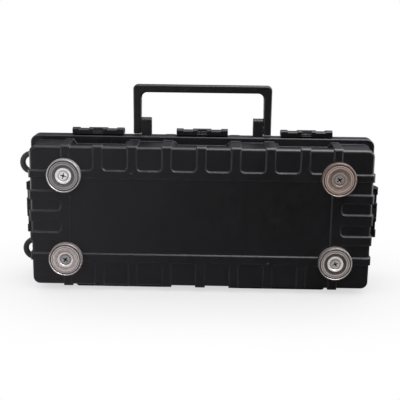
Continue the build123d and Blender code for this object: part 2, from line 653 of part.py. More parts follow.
save("protection_board", protection_board())
save("board_components", board_components())
save("board_heatsink", board_heatsink())
save("board_screws", [cyl_y(x, z, 2.0, MOUNT_Y, -29.9) + cyl_y(x, z, 1.0, -38.0, -31.3)
                      for x, z in STANDOFFS])

# ---------------------------------------------------------------- faceplate
ACCESSORY, USB = (112.0, 104.0), (152.0, 66.0)
CHARGE, SWITCH = (112.0, 66.0), (152.0, 104.0)
METER, BUTTON = (132.0, 136.5), (165.5, 136.5)
POST_POSITIVE, POST_NEGATIVE = (102.0, 33.0), (124.0, 33.0)
FUSE = (160.0, 33.0)
SOCKET_R = 13.6                    # plate hole of the two capped sockets
FLANGE_Y = PLATE_Y1 + 0.02         # underside of flanges seated on the plate
BARREL_Y = PLATE_Y1 + 0.1          # barrels run up into their flanges


def faceplate():
    plate = prism_y(rrect(IN_HX - 1.0, IN_HZ - 1.0, 4.5), PLATE_Y0, PLATE_Y1)
    plate -= cyl_y(*ACCESSORY, SOCKET_R, -5, 5)
    plate -= cyl_y(*CHARGE, 8.1, -5, 5)
    plate -= cyl_y(*USB, SOCKET_R, -5, 5)
    plate -= block_at(SWITCH, 10.6, 7.1, -5, 5)
    plate -= block_at(METER, 22.6, 13.1, -5, 5)
    for place in (POST_POSITIVE, POST_NEGATIVE):
        plate -= cyl_y(*place, 4.1, -5, 5)
    plate -= cyl_y(*FUSE, 6.6, -5, 5)
    plate -= cyl_y(*BUTTON, 3.6, -5, 5)
    # shallow recess over the cells with stiffening ribs in it
    plate -= prism_y(rspan(-128.0, 76.0, 32.0, 138.0, 5.0), PLATE_Y1 - 0.7, PLATE_Y1 + 1)
    for k in range(9):
        x = -112.0 + 21.5 * k
        plate += prism_y(rspan(x - 1.3, x + 1.3, 40.0, 130.0, 1.2), PLATE_Y1 - 0.8, PLATE_Y1)
    # slots in front of the protection board
    for k in range(7):
        z = 60 + 8.0 * k
        slot = rspan(-166.0, -142.0, z - 1.4, z + 1.4, 1.35)
        plate -= prism_y(slot, PLATE_Y0 - 1, PLATE_Y1 + 1)
    for x, z in BOSSES:
        plate -= cyl_y(x, z, 1.7, -3, 5)
    return plate


def faceplate_screw(place):
    head = round_end(cyl_y(*place, 2.9, FLANGE_Y, PLATE_Y1 + 1.7), 0.7)
    head -= block_at(place, 2.1, 0.4, PLATE_Y1 + 0.9, PLATE_Y1 + 3)
    head -= block_at(place, 0.4, 2.1, PLATE_Y1 + 0.9, PLATE_Y1 + 3)
    return head + cyl_y(*place, 1.5, -10.0, BARREL_Y)


save("faceplate", faceplate())
save("faceplate_screws", [faceplate_screw(place) for place in BOSSES])

# ---------------------------------------------------------------- capped sockets
CAP_R = 14.0
CAP_HINGE_Y, CAP_HINGE_DZ = 7.0, 15.9   # cap hinge axis, dz from the socket centre
USB_SLOT_DZ = 3.8


def capped_socket(place, depth, mouth_r, mouth_depth):
    """Round panel socket: barrel behind the plate, flange, open mouth and cap hinge lugs."""
    x, z = place
    hinge_z = z + CAP_HINGE_DZ
    socket = cyl_y(x, z, SOCKET_R - 0.1, -depth, BARREL_Y)
    socket = socket + round_end(cyl_y(x, z, 17.0, FLANGE_Y, PLATE_Y1 + 3.0), 1.0)
    socket -= cyl_y(x, z, mouth_r, -mouth_depth, PLATE_Y1 + 4)
    for x0, x1 in ((x - 6.0, x - 3.2), (x + 3.2, x + 6.0)):
        socket += prism_x(Pos(6.9, hinge_z) * RectangleRounded(3.8, 4.0, 1.6), x0, x1)
        socket += box(x0, x1, 2.5, 6.5, hinge_z - 2.0, hinge_z + 1.0)
    socket -= cyl_x(CAP_HINGE_Y, hinge_z, 0.8, x - 7, x + 7)
    return socket


def usb_socket():
    socket = capped_socket(USB, depth=24.0, mouth_r=9.6, mouth_depth=2.5)
    for dz in (-USB_SLOT_DZ, USB_SLOT_DZ):
        socket -= block_at((USB[0], USB[1] + dz), 6.2, 2.3, -14.0, 0)
    return socket


def flip_cap(place):
    x, z = place
    hinge_z = z + CAP_HINGE_DZ
    cap = round_end(cyl_y(x, z, CAP_R, 5.2, 8.0), 1.0)
    cap += cyl_y(x, z, 8.6, 3.2, 5.4)
    cap += prism_z(Pos(x, 6.5) * RectangleRounded(8.0, 2.6, 1.0), z - CAP_R - 3.0, z - CAP_R + 2.5)
    cap += cyl_x(CAP_HINGE_Y, hinge_z, 1.7, x - 2.9, x + 2.9)
    cap += box(x - 2.9, x + 2.9, 5.6, 8.0, z + CAP_R - 2.5, hinge_z)
    cap -= cyl_x(CAP_HINGE_Y, hinge_z, 0.85, x - 8, x + 8)
    return cap


def socket_contacts():
    return [cyl_y(*ACCESSORY, 3.5, -30.95, -26.5)] + [
        block_at((USB[0], USB[1] + dz), 5.6, 0.6, -13.9, -3.5)
        for dz in (-USB_SLOT_DZ, USB_SLOT_DZ)]


save("accessory_socket", capped_socket(ACCESSORY, depth=34.0, mouth_r=10.6, mouth_depth=31.0))
save("accessory_cap", flip_cap(ACCESSORY))
save("usb_socket", usb_socket())
save("usb_cap", flip_cap(USB))
save("cap_pins", [cyl_x(CAP_HINGE_Y, z + CAP_HINGE_DZ, 0.79, x - 5.9, x + 5.9)
                  for x, z in (ACCESSORY, USB)])
save("socket_contacts", socket_contacts())


# ---------------------------------------------------------------- charge port, screw cap
def charge_port():
    port = cyl_y(*CHARGE, 8.0, -20.0, BARREL_Y)
    port += cyl_y(*CHARGE, 11.0, FLANGE_Y, PLATE_Y1 + 2.4)
    port += cyl_y(*CHARGE, 7.2, PLATE_Y1, 8.6)
    port -= cyl_y(*CHARGE, 5.6, -2.0, 10)
    for x, z in around(CHARGE, 2.6, 3, start=90):
        port += cyl_y(x, z, 0.8, -2.5, 5.0)
    return port


def charge_port_cap():
    cap = round_end(cyl_y(*CHARGE, 9.6, 4.5, 11.2), 1.2)
    cap -= cyl_y(*CHARGE, 7.28, 4, 9.2)
    for x, z in around(CHARGE, 9.95, 18):
        cap -= cyl_y(x, z, 0.75, 4, 10.4)
    return cap


save("charge_port", charge_port())
save("charge_port_cap", charge_port_cap())

# ---------------------------------------------------------------- rocker switch
ROCKER_TILT = -9.0


def switch_housing():
    housing = block_at(SWITCH, 10.5, 7.0, -18.0, BARREL_Y)
    bezel = Pos(*SWITCH) * RectangleRounded(25.0, 18.5, 2.0)
    housing += round_end(prism_y(bezel, FLANGE_Y, PLATE_Y1 + 2.6), 0.9)
    housing -= block_at(SWITCH, 9.2, 5.2, -8.0, 6.0)
    housing -= cyl_z(SWITCH[0], 0.0, 1.3, SWITCH[1] - 6.6, SWITCH[1] + 6.6)
    return housing


def switch_rocker():
    outline = poly((-8.2, 2.0), (-8.2, 6.3), (0.0, 3.9), (8.2, 6.3), (8.2, 2.0),
                   (5.2, -3.6), (-5.2, -3.6))
    rocker = prism_z(outline, -5.0, 5.0)
    rocker += cyl_z(0, 0, 1.2, -6.4, 6.4)
    return Pos(SWITCH[0], 0.0, SWITCH[1]) * Rot(0, 0, ROCKER_TILT) * rocker


save("switch_housing", switch_housing())
save("switch_rocker", switch_rocker())


# ---------------------------------------------------------------- meter and button
def meter_case():
    case = block_at(METER, 22.5, 13.0, -17.0, BARREL_Y)
    bezel = Pos(*METER) * RectangleRounded(49.0, 30.0, 2.5)
    case += round_end(prism_y(bezel, FLANGE_Y, PLATE_Y1 + 3.2), 1.3)
    case -= block_at(METER, 19.5, 9.5, PLATE_Y1 + 1.0, 10)
    case -= block_at(METER, 19.0, 9.0, PLATE_Y1 - 2.0, 10)
    return case


save("meter_case", meter_case())
save("meter_window", block_at(METER, 19.4, 9.4, PLATE_Y1 + 1.0, PLATE_Y1 + 2.2))
save("meter_display", block_at(METER, 18.4, 8.4, PLATE_Y1 - 1.98, PLATE_Y1 - 0.8))
save("meter_button", round_end(cyl_y(*BUTTON, 3.4, -3.0, PLATE_Y1 + 2.4), 0.8))
save("button_body", cyl_y(*BUTTON, 5.2, -9.0, PLATE_Y0 - 0.02)
     - cyl_y(*BUTTON, 3.5, -5.5, PLATE_Y0 + 1))


# ---------------------------------------------------------------- fuse
def fuse_holder():
    holder = cyl_y(*FUSE, 6.5, -26.0, BARREL_Y) + cyl_y(*FUSE, 8.6, FLANGE_Y, PLATE_Y1 + 2.2)
    return holder - cyl_y(*FUSE, 4.6, -24.0, 10)


def fuse_cap():
    cap = round_end(cyl_y(*FUSE, 7.6, PLATE_Y1 + 2.3, 11.0), 1.4)
    cap += cyl_y(*FUSE, 4.5, -1.0, PLATE_Y1 + 2.4)
    cap -= block_at(FUSE, 5.2, 0.8, 9.8, 12.0)
    for x, z in around(FUSE, 8.0, 12, start=15):
        cap -= cyl_y(x, z, 0.9, 5.5, 10.0)
    return cap


save("fuse_holder", fuse_holder())
save("fuse_cap", fuse_cap())
save("fuse_cartridge", cyl_y(*FUSE, 3.2, -23.5, -1.1))


# ---------------------------------------------------------------- binding posts
def post_collar(place):
    collar = cyl_y(*place, 4.0, -8.0, BARREL_Y) + cyl_y(*place, 7.4, FLANGE_Y, PLATE_Y1 + 3.0)
    return collar - cyl_y(*place, 2.02, -20, 20)


def post_knob(place):
    knob = round_end(cyl_y(*place, 6.8, 7.0, 17.0), 1.0)
    knob -= cyl_y(*place, 2.05, 5, 20)
    for x, z in around(place, 7.35, 12):
        knob -= cyl_y(x, z, 1.0, 8.2, 18.0)
    return knob


POSTS = (POST_POSITIVE, POST_NEGATIVE)
save("post_collars", [post_collar(place) for place in POSTS])
save("post_studs", [cyl_y(*place, 2.0, -16.0, 17.5) for place in POSTS])
save("post_knob_positive", post_knob(POST_POSITIVE))
save("post_knob_negative", post_knob(POST_NEGATIVE))

# ---------------------------------------------------------------- leads
# x, y, z along each lead, ending at the back of its binding post
POSITIVE_PATH = [(87.0, -20.0, 134.0), (90.0, -24.0, 120.0), (92.0, -27.0, 90.0),
                 (92.0, -27.0, 60.0), (97.0, -24.0, 40.0), (102.0, -17.6, 33.0)]
NEGATIVE_PATH = [(-155.0, -31.2, 53.0), (-155.0, -22.0, 53.0), (-155.0, -22.0, 15.15),
                 (124.0, -22.0, 15.15), (124.0, -22.0, 33.0), (124.0, -16.4, 33.0)]

save("lead_positive", wire(Spline(*POSITIVE_PATH), 1.9))
save("lead_negative", wire(FilletPolyline(*NEGATIVE_PATH, radius=3.0), 1.25))


# ---------------------------------------------------------------- vent valve, lid foam
def vent_valve():
    wall_x = CASE_HX - RELIEF      # outer face of the wall at the valve
    valve = cyl_x(VENT_Y, VENT_Z, 6.0, IN_HX, wall_x + 0.1)
    valve += cyl_x(VENT_Y, VENT_Z, 8.4, wall_x + 0.02, wall_x + 3.0)
    valve = valve - cyl_x(VENT_Y, VENT_Z, 5.0, wall_x + 2.0, wall_x + 10.5)
    valve += box(wall_x + 1.5, wall_x + 2.9, VENT_Y - 0.8, VENT_Y + 0.8,
                 VENT_Z - 4.9, VENT_Z + 4.9)
    return valve


def vent_valve_nut():
    nut = prism_x(Pos(VENT_Y, VENT_Z) * RegularPolygon(8.0, 6), IN_HX - 3.0, IN_HX - 0.02)
    nut -= cyl_x(VENT_Y, VENT_Z, 6.05, 0, 400)
    # the inner end of the nut is closed
    nut += cyl_x(VENT_Y, VENT_Z, 6.2, IN_HX - 3.0, IN_HX - 2.0)
    return nut


save("vent_valve", vent_valve())
save("vent_valve_nut", vent_valve_nut())
save("lid_foam", prism_y(rspan(-IN_HX + 1.0, 82.0, CASE_Z - IN_HZ + 1.0,
                               CASE_Z + IN_HZ - 1.0, 4.5), 24.0, IN_Y1 - 0.1))
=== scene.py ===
"""Hinged battery case with four screwed magnets, standing on a white studio floor.

The case is wide along X and stands up along Z. The magnets face -Y, towards the camera.
The faceplate with its meter, switch and posts faces +Y, where the foam-lined lid closes
over it. Units are metres.
"""
import bpy, bmesh, math
from mathutils import Vector, Matrix


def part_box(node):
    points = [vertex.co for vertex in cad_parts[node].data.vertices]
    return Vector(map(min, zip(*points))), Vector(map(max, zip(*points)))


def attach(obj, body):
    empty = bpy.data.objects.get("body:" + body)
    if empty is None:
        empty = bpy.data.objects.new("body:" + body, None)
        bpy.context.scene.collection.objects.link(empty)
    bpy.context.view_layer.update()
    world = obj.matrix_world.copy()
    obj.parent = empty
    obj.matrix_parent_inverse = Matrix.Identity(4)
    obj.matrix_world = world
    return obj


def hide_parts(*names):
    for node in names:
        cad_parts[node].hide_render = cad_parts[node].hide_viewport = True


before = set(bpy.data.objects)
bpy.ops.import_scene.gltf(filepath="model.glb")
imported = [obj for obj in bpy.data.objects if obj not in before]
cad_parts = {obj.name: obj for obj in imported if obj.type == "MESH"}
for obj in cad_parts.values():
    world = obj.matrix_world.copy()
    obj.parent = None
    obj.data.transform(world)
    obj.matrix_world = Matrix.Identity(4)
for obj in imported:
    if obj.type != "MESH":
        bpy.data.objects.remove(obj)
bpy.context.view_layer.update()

SCENE = bpy.context.scene

# Magnet axes run along Y at x = +-MAGNET_X, z = MAGNET_MID_Z +- MAGNET_RISE
MAGNET_X = 0.1449
MAGNET_MID_Z = 0.0829
MAGNET_RISE = 0.0461


# ------------------------------------------------------------------ shader graph helpers
class Graph:
    """Builds the node tree of a material or world."""

    def __init__(self, owner):
        owner.use_nodes = True
        self.tree = owner.node_tree
        self.tree.nodes.clear()

    def put(self, socket, value):
        """Link a socket, or set a plain value; colours may leave out alpha."""
        if isinstance(value, bpy.types.NodeSocket):
            self.tree.links.new(value, socket)
        elif isinstance(value, tuple) and len(value) == 3 and socket.type == "RGBA":
            socket.default_value = (*value, 1.0)
        else:
            socket.default_value = value

    def node(self, kind, inputs=None, **settings):
        node = self.tree.nodes.new("ShaderNode" + kind)
        for name, value in settings.items():
            setattr(node, name, value)
        for key, value in (inputs or {}).items():
            self.put(node.inputs[key], value)
        return node

    def remap(self, value, span, to=(0.0, 1.0), smooth=False):
        """Map the range span onto the range to, clamped at both ends."""
        inputs = {"Value": value, "From Min": span[0], "From Max": span[1],
                  "To Min": to[0], "To Max": to[1]}
        kind = "SMOOTHSTEP" if smooth else "LINEAR"
        return self.node("MapRange", inputs, interpolation_type=kind).outputs["Result"]

    def mix(self, factor, first, second, blend="MIX"):
        inputs = {0: factor, 6: first, 7: second}
        return self.node("Mix", inputs, data_type="RGBA", blend_type=blend).outputs[2]

    def mix_shader(self, factor, first, second):
        return self.node("MixShader", {0: factor, 1: first, 2: second}).outputs[0]

    def split(self, vector):
        return list(self.node("SeparateXYZ", {0: vector}).outputs)


class Surface(Graph):
    """A Principled material textured in object space."""

    def __init__(self, name):
        self.material = bpy.data.materials.new(name)
        super().__init__(self.material)
        self.shader = self.node("BsdfPrincipled")
        self.node("OutputMaterial", {"Surface": self.shader.outputs["BSDF"]})
        self.coord = self.node("TexCoord").outputs["Object"]

    def finish(self, inputs):
        for name, value in inputs.items():
            self.put(self.shader.inputs[name], value)
        return self.material

    def math(self, operation, first, second=0.0, clamp=False):
        inputs = {0: first, 1: second, 2: 0.0}
        return self.node("Math", inputs, operation=operation, use_clamp=clamp).outputs[0]

    def plus(self, first, second, clamp=False):
        return self.math("ADD", first, second, clamp)

    def minus(self, first, second, clamp=False):
        return self.math("SUBTRACT", first, second, clamp)

    def times(self, first, second, clamp=False):
        return self.math("MULTIPLY", first, second, clamp)

    def mix_value(self, factor, first, second):
        return self.node("Mix", {0: factor, 2: first, 3: second}, data_type="FLOAT").outputs[0]

    def layer(self, under, over, mask, strength):
        return self.mix(self.times(mask, strength), under, over)

    def tinted(self, colour, tint):
        return self.mix(1.0, colour, tint, blend="MULTIPLY")

    def dimmed(self, colour, factor):
        inputs = {0: colour, "Scale": factor}
        return self.node("VectorMath", inputs, operation="SCALE").outputs["Vector"]

    def join(self, x, y, z):
        return self.node("CombineXYZ", {0: x, 1: y, 2: z}).outputs[0]

    def stretched(self, stretch):
        if stretch is None:
            return self.coord
        inputs = {0: self.coord, 1: stretch}
        return self.node("VectorMath", inputs, operation="MULTIPLY").outputs["Vector"]

    def noise(self, scale, detail=2.0, rough=0.5, vector=None, stretch=None, distort=0.0):
        inputs = {"Vector": self.stretched(stretch) if vector is None else vector,
                  "Scale": scale, "Detail": detail, "Roughness": rough, "Distortion": distort}
        return self.node("TexNoise", inputs).outputs["Fac"]

    def voronoi(self, scale, feature="F1", stretch=None, random=1.0):
        inputs = {"Vector": self.stretched(stretch), "Scale": scale, "Randomness": random}
        return self.node("TexVoronoi", inputs, feature=feature).outputs["Distance"]

    def specks(self, scale, size, patch_scale, patch_span):
        """Soft dots that appear only where a broad noise is high."""
        dots = self.remap(self.voronoi(scale), span=(0.0, size), to=(1.0, 0.0))
        return self.times(dots, self.remap(self.noise(patch_scale), span=patch_span))

    def bevel(self, radius, samples=4):
        return self.node("Bevel", {"Radius": radius}, samples=samples).outputs["Normal"]

    def edges(self, radius, full):
        """0 on flats, 1 on convex and concave edges, where the rounded normal turns by full."""
        inputs = {0: self.bevel(radius), 1: self.node("NewGeometry").outputs["Normal"]}
        facing = self.node("VectorMath", inputs, operation="DOT_PRODUCT").outputs["Value"]
        return self.remap(self.minus(1.0, facing), span=(0.03, full))

    def bump(self, height, depth, strength, normal=None):
        inputs = {"Strength": strength, "Distance": depth, "Height": height}
        if normal is not None:
            inputs["Normal"] = normal
        return self.node("Bump", inputs).outputs["Normal"]


def scaled(colour, factor, lift=0.0):
    return tuple(min(1.0, channel * factor + lift) for channel in colour)


# ------------------------------------------------------------------ material kinds
def plastic(name, base, rough=0.36, grain=1800.0, grain_depth=0.00004, bevel=0.0007, edge_wear_and_highlight=0.35,
            wear_and_highlight_colour=(0.075, 0.074, 0.078), specular=0.5, mottle=0.06, scuff=0.3):
    """Moulded plastic: fine grain, mottled gloss, hairline scuffs, and edges lightened partly by
    rubbing and partly as a painted highlight.
    """
    mat = Surface(name)
    clouds = mat.noise(scale=14.0, detail=3.0, rough=0.55)
    mottling = mat.noise(scale=120.0, detail=3.0, rough=0.6)
    fine = mat.noise(scale=grain, rough=0.6)
    pits = mat.voronoi(scale=grain * 0.62)
    streaks = mat.noise(scale=90.0, detail=4.0, rough=0.65, stretch=(1.0, 6.0, 0.35), distort=0.6)
    lines = mat.voronoi(scale=70.0, feature="DISTANCE_TO_EDGE", stretch=(1.0, 4.0, 0.25))
    hairs = mat.times(mat.remap(lines, span=(0.0, 0.012), to=(1.0, 0.0)),
                      mat.remap(mat.noise(scale=22.0), span=(0.5, 0.72)))
    patches = mat.remap(mat.noise(scale=160.0, detail=3.0, rough=0.65), span=(0.22, 0.62))
    rubbed_and_highlit = mat.times(mat.edges(bevel * 1.5, full=0.42), patches, clamp=True)
    # painted highlight: edges that look up are lightened more than those that look down
    upward = mat.split(mat.bevel(bevel * 1.5))[2]
    rubbed_and_highlit = mat.times(rubbed_and_highlit, mat.remap(upward, span=(-0.10, 0.40), to=(0.30, 1.0)))

    colour = mat.mix(mat.remap(clouds, span=(0.3, 0.7)), scaled(base, 0.72), scaled(base, 1.32))
    colour = mat.layer(colour, scaled(base, 1.7), mask=mat.remap(mottling, span=(0.42, 0.75)),
                       strength=0.30)
    colour = mat.layer(colour, wear_and_highlight_colour, mask=hairs, strength=scuff * 0.5)
    # edges lightened: partly real rubbing, partly a painted highlight
    colour = mat.layer(colour, wear_and_highlight_colour, mask=rubbed_and_highlit, strength=edge_wear_and_highlight)

    gloss = mat.plus(
        mat.remap(mottling, span=(0.3, 0.7), to=(rough - mottle, rough + mottle)),
        mat.remap(streaks, span=(0.35, 0.7), to=(-mottle * 0.7, mottle * 0.7)))
    gloss = mat.plus(gloss, mat.times(hairs, 0.18 * scuff))
    gloss = mat.minus(gloss, mat.times(rubbed_and_highlit, 0.10 * edge_wear_and_highlight), clamp=True)

    height = mat.plus(mat.times(fine, 0.7), mat.times(pits, 0.5))
    height = mat.minus(height, mat.times(hairs, 0.6 * scuff))
    waviness = mat.bump(mat.noise(scale=9.0), depth=0.0006, strength=0.25,
                        normal=mat.bevel(bevel, samples=6))
    return mat.finish({
        "Base Color": colour, "Roughness": gloss, "Specular IOR Level": specular,
        "Normal": mat.bump(height, depth=grain_depth, strength=0.75, normal=waviness)})


def rubber(name, base, rough=0.62, grain=900.0, dust=0.35):
    """Moulded rubber: dull, faint bloom, fine pimpled skin and specks of lint."""
    bevel = 0.0006
    mat = Surface(name)
    clouds = mat.noise(scale=30.0, detail=3.0, rough=0.6)
    fine = mat.noise(scale=grain, detail=3.0, rough=0.6)
    lint = mat.specks(scale=420.0, size=0.16, patch_scale=70.0, patch_span=(0.48, 0.62))

    colour = mat.mix(mat.remap(clouds, span=(0.3, 0.7)),
                     scaled(base, 0.75), scaled(base, 1.35, lift=0.004))
    colour = mat.layer(colour, scaled(base, 1.5, lift=0.03),
                       mask=mat.edges(bevel * 1.6, full=0.4), strength=0.25)
    colour = mat.layer(colour, (0.22, 0.21, 0.20), mask=lint, strength=dust * 0.35)
    height = mat.plus(fine, mat.times(mat.voronoi(scale=grain * 0.7), 0.6))
    return mat.finish({
        "Base Color": colour,
        "Roughness": mat.remap(fine, span=(0.3, 0.7), to=(rough - 0.08, rough + 0.10)),
        "Specular IOR Level": 0.38, "Sheen Weight": 0.08, "Sheen Roughness": 0.5,
        "Normal": mat.bump(height, depth=0.00005, strength=0.6,
                           normal=mat.bevel(bevel, samples=5))})


def metal(name, base, rough=0.28, brush=(1.0, 1.0, 1.0), tarnish_colour=(0.20, 0.17, 0.14),
          tarnish=0.25):
    """Plated or turned metal: marks stretched by brush, dull patches, spots, bright edges."""
    bevel = 0.0003
    mat = Surface(name)
    marks = mat.noise(scale=700.0, detail=4.0, rough=0.65, stretch=brush)
    patches = mat.noise(scale=55.0, detail=4.0, rough=0.62)
    spots = mat.specks(scale=240.0, size=0.2, patch_scale=40.0, patch_span=(0.5, 0.7))

    colour = mat.mix(mat.remap(patches, span=(0.35, 0.72)), base, scaled(base, 0.80))
    colour = mat.layer(colour, scaled(base, 0.66), mask=mat.remap(marks, span=(0.4, 0.7)),
                       strength=0.35)
    colour = mat.layer(colour, tarnish_colour, mask=spots, strength=tarnish)
    colour = mat.layer(colour, scaled(base, 1.25), mask=mat.edges(bevel * 2.0, full=0.5),
                       strength=0.35)
    gloss = mat.plus(mat.remap(marks, span=(0.3, 0.7), to=(rough - 0.08, rough + 0.10)),
                     mat.remap(patches, span=(0.35, 0.7), to=(-0.04, 0.10)))
    return mat.finish({
        "Base Color": colour, "Metallic": 1.0,
        "Roughness": mat.plus(gloss, mat.times(spots, 0.2), clamp=True),
        "Normal": mat.bump(marks, depth=0.00003, strength=0.5, normal=mat.bevel(bevel))})


def turned_nickel(name, nickel_and_reflection_tones, groove, rough=0.34, metallic=0.5, ring_rate=4200.0, dirt=0.5,
                  dish=None, land=None, shade_span=None):
    """Plating over a turned face: rings about each magnet axis, stains, and rims lightened as a
    painted highlight.

    nickel_and_reflection_tones: colours of the top left, top right, bottom left and bottom right
    magnet, as seen from -Y; each is the nickel colour with a painted reflection of the
    surroundings.
    groove: radius of one deeper turned line.
    ring_rate: radians of ring pattern per metre of radius.
    dish: painted shade on the hollow inside the outer land on each magnet, as a brightness
    factor, same order.
    land: painted light and shade on the inner seat round the screw, as a brightness factor, same
    order.
    shade_span: y where the recess starts to fall into shade, and y where shade is full.
    """
    mat = Surface(name)
    x, y, z = mat.split(mat.coord)
    across = mat.minus(mat.math("ABSOLUTE", x), MAGNET_X)
    mid_z = mat.minus(z, MAGNET_MID_Z)
    along = mat.minus(mat.math("ABSOLUTE", mid_z), MAGNET_RISE)
    offset = mat.join(across, 0.0, along)
    radius = mat.node("VectorMath", {0: offset}, operation="LENGTH").outputs["Value"]
    angle = mat.math("ARCTAN2", along, across)
    right_side = mat.remap(x, span=(-0.02, 0.02))
    top_side = mat.remap(mid_z, span=(-0.01, 0.01))

    def per_magnet(mixer, values):
        top_left, top_right, bottom_left, bottom_right = values
        return mixer(top_side, mixer(right_side, bottom_left, bottom_right),
                     mixer(right_side, top_left, top_right))

    wobble = mat.times(mat.noise(scale=900.0), 2.4)
    rings = mat.math("SINE", mat.plus(mat.times(radius, ring_rate), wobble))
    ring_vector = mat.join(mat.times(radius, 3600.0), mat.times(angle, 1.6), 0.0)
    uneven_rings = mat.noise(scale=1.0, detail=3.0, rough=0.7, vector=ring_vector)
    stain = mat.noise(scale=150.0, detail=4.0, rough=0.65, distort=0.8)
    pits = mat.specks(scale=900.0, size=0.22, patch_scale=130.0, patch_span=(0.5, 0.66))
    # the seed gives each magnet its own broad bands
    seed = mat.plus(mat.times(right_side, 3.7), mat.times(top_side, 8.3))
    band_vector = mat.join(mat.times(radius, 820.0), seed, mat.times(angle, 0.25))
    bands = mat.noise(scale=1.0, rough=0.6, vector=band_vector)

    # painted reflection: each magnet gets its own colour for what its face reflects
    nickel_and_reflection_tone = per_magnet(mat.mix, nickel_and_reflection_tones)
    darker = mat.tinted(nickel_and_reflection_tone, (0.55, 0.53, 0.52))
    colour = mat.layer(nickel_and_reflection_tone, darker, mask=mat.remap(stain, span=(0.42, 0.74)), strength=dirt)
    colour = mat.layer(colour, darker, mask=mat.remap(uneven_rings, span=(0.42, 0.74)),
                       strength=0.40)
    colour = mat.layer(colour, mat.tinted(nickel_and_reflection_tone, (0.42, 0.40, 0.39)),
                       mask=mat.remap(bands, span=(0.44, 0.66), smooth=True), strength=0.62)
    colour = mat.layer(colour, (0.12, 0.10, 0.09), mask=pits, strength=0.5)
    # painted highlight: the rims and edges are lightened
    colour = mat.layer(colour, mat.tinted(nickel_and_reflection_tone, (1.35, 1.33, 1.30)),
                       mask=mat.edges(0.00045, full=0.45), strength=0.5)
    gloss = mat.plus(mat.remap(uneven_rings, span=(0.3, 0.7), to=(rough - 0.06, rough + 0.12)),
                     mat.remap(stain, span=(0.4, 0.7), to=(-0.03, 0.12)))
    gloss = mat.plus(gloss, mat.times(pits, 0.2), clamp=True)

    # painted shade: the hollow is dimmed by its own amount on each magnet
    if dish is not None:
        inside = mat.remap(radius, span=(0.0117, 0.0122), to=(1.0, 0.0))
        # the outer part of the hollow faces the light more, so it is toned down
        falloff = mat.remap(radius, span=(0.0086, 0.0120), to=(1.0, 0.70))
        level = mat.times(per_magnet(mat.mix_value, dish), falloff)
        colour = mat.dimmed(colour, mat.mix_value(inside, 1.0, level))
        gloss = mat.plus(gloss, mat.times(inside, 0.16), clamp=True)
    # painted light and shade: the inner seat is brightened or dimmed on each magnet
    if land is not None:
        inside = mat.remap(radius, span=(0.0086, 0.0090), to=(1.0, 0.0))
        level = per_magnet(mat.mix_value, land)
        colour = mat.dimmed(colour, mat.mix_value(inside, 1.0, level))
    from_groove = mat.math("ABSOLUTE", mat.minus(radius, groove))
    colour = mat.dimmed(colour, mat.remap(from_groove, span=(0.00015, 0.00055), to=(0.35, 1.0)))
    if shade_span is not None:
        lit = mat.remap(y, span=shade_span, to=(1.0, 0.0), smooth=True)
        colour = mat.dimmed(colour, mat.mix_value(lit, 0.035, 1.0))
        metallic = mat.times(lit, metallic)
        gloss = mat.mix_value(lit, 0.8, gloss)
        mat.put(mat.shader.inputs["Specular IOR Level"], mat.times(lit, 0.5))

    height = mat.plus(mat.times(rings, 0.4), uneven_rings)
    return mat.finish({
        "Base Color": colour, "Metallic": metallic, "Roughness": gloss,
        "Normal": mat.bump(height, depth=0.00003, strength=0.55, normal=mat.bevel(0.0003))})


def glassy(name, base, alpha=0.28):
    """Clear sheet or tube with faint smears."""
    mat = Surface(name)
    smear = mat.noise(scale=60.0, detail=4.0, rough=0.6)
    fine = mat.noise(scale=800.0)
    return mat.finish({
        "Base Color": mat.mix(smear, base, scaled(base, 1.4, lift=0.01)),
        "Roughness": mat.remap(smear, span=(0.3, 0.7), to=(0.06, 0.06 + 0.14)),
        "Alpha": mat.remap(smear, span=(0.3, 0.75), to=(alpha, alpha + 0.10)),
        "Specular IOR Level": 0.6,
        "Normal": mat.bump(fine, depth=0.00001, strength=0.3, normal=mat.bevel(0.0004))})


def foam(name, base, cell_scale=1300.0):
    """Open-cell foam: pitted skin, with painted shade darkening the pits at the cell centres,
    pale between them.
    """
    mat = Surface(name)
    cells = mat.voronoi(scale=cell_scale)
    small_cells = mat.voronoi(scale=cell_scale * 2.3)
    clouds = mat.noise(scale=40.0, detail=3.0)
    # painted shade: darker in the pits at the cell centres
    colour = mat.mix(mat.remap(cells, span=(0.1, 0.7)), scaled(base, 0.45), scaled(base, 1.35))
    colour = mat.layer(colour, scaled(base, 0.7), mask=mat.remap(clouds, span=(0.35, 0.7)),
                       strength=0.35)
    height = mat.plus(cells, mat.times(small_cells, 0.5))
    return mat.finish({
        "Base Color": colour,
        "Roughness": mat.remap(small_cells, span=(0.1, 0.6), to=(0.82, 0.97)),
        "Specular IOR Level": 0.15, "Sheen Weight": 0.18,
        "Normal": mat.bump(height, depth=0.00035, strength=0.9)})


def circuit_board(name):
    """Solder mask with copper tracks and pads showing through."""
    mat = Surface(name)
    cell_edge = mat.voronoi(scale=260.0, feature="DISTANCE_TO_EDGE", random=0.35)
    track = mat.times(mat.remap(cell_edge, span=(0.05, 0.075), to=(1.0, 0.0)),
                      mat.remap(mat.noise(scale=90.0), span=(0.42, 0.5)))
    pad = mat.remap(mat.voronoi(scale=330.0, random=0.8), span=(0.10, 0.13), to=(1.0, 0.0))
    weave_vector = mat.join(*[mat.times(axis, 2600.0) for axis in mat.split(mat.coord)])
    weave = mat.noise(scale=1.0, detail=1.0, vector=weave_vector)

    colour = mat.mix(mat.remap(weave, span=(0.35, 0.65)),
                     (0.004, 0.060, 0.026), (0.008, 0.095, 0.042))
    colour = mat.layer(colour, (0.03, 0.20, 0.08), mask=track, strength=0.75)
    colour = mat.layer(colour, (0.62, 0.52, 0.30), mask=pad, strength=0.8)
    height = mat.plus(mat.times(track, 0.6), pad)
    return mat.finish({
        "Base Color": colour, "Metallic": mat.times(pad, 0.7),
        "Roughness": mat.remap(weave, span=(0.3, 0.7), to=(0.26, 0.42)),
        "Normal": mat.bump(height, depth=0.00004, strength=0.8, normal=mat.bevel(0.0002))})


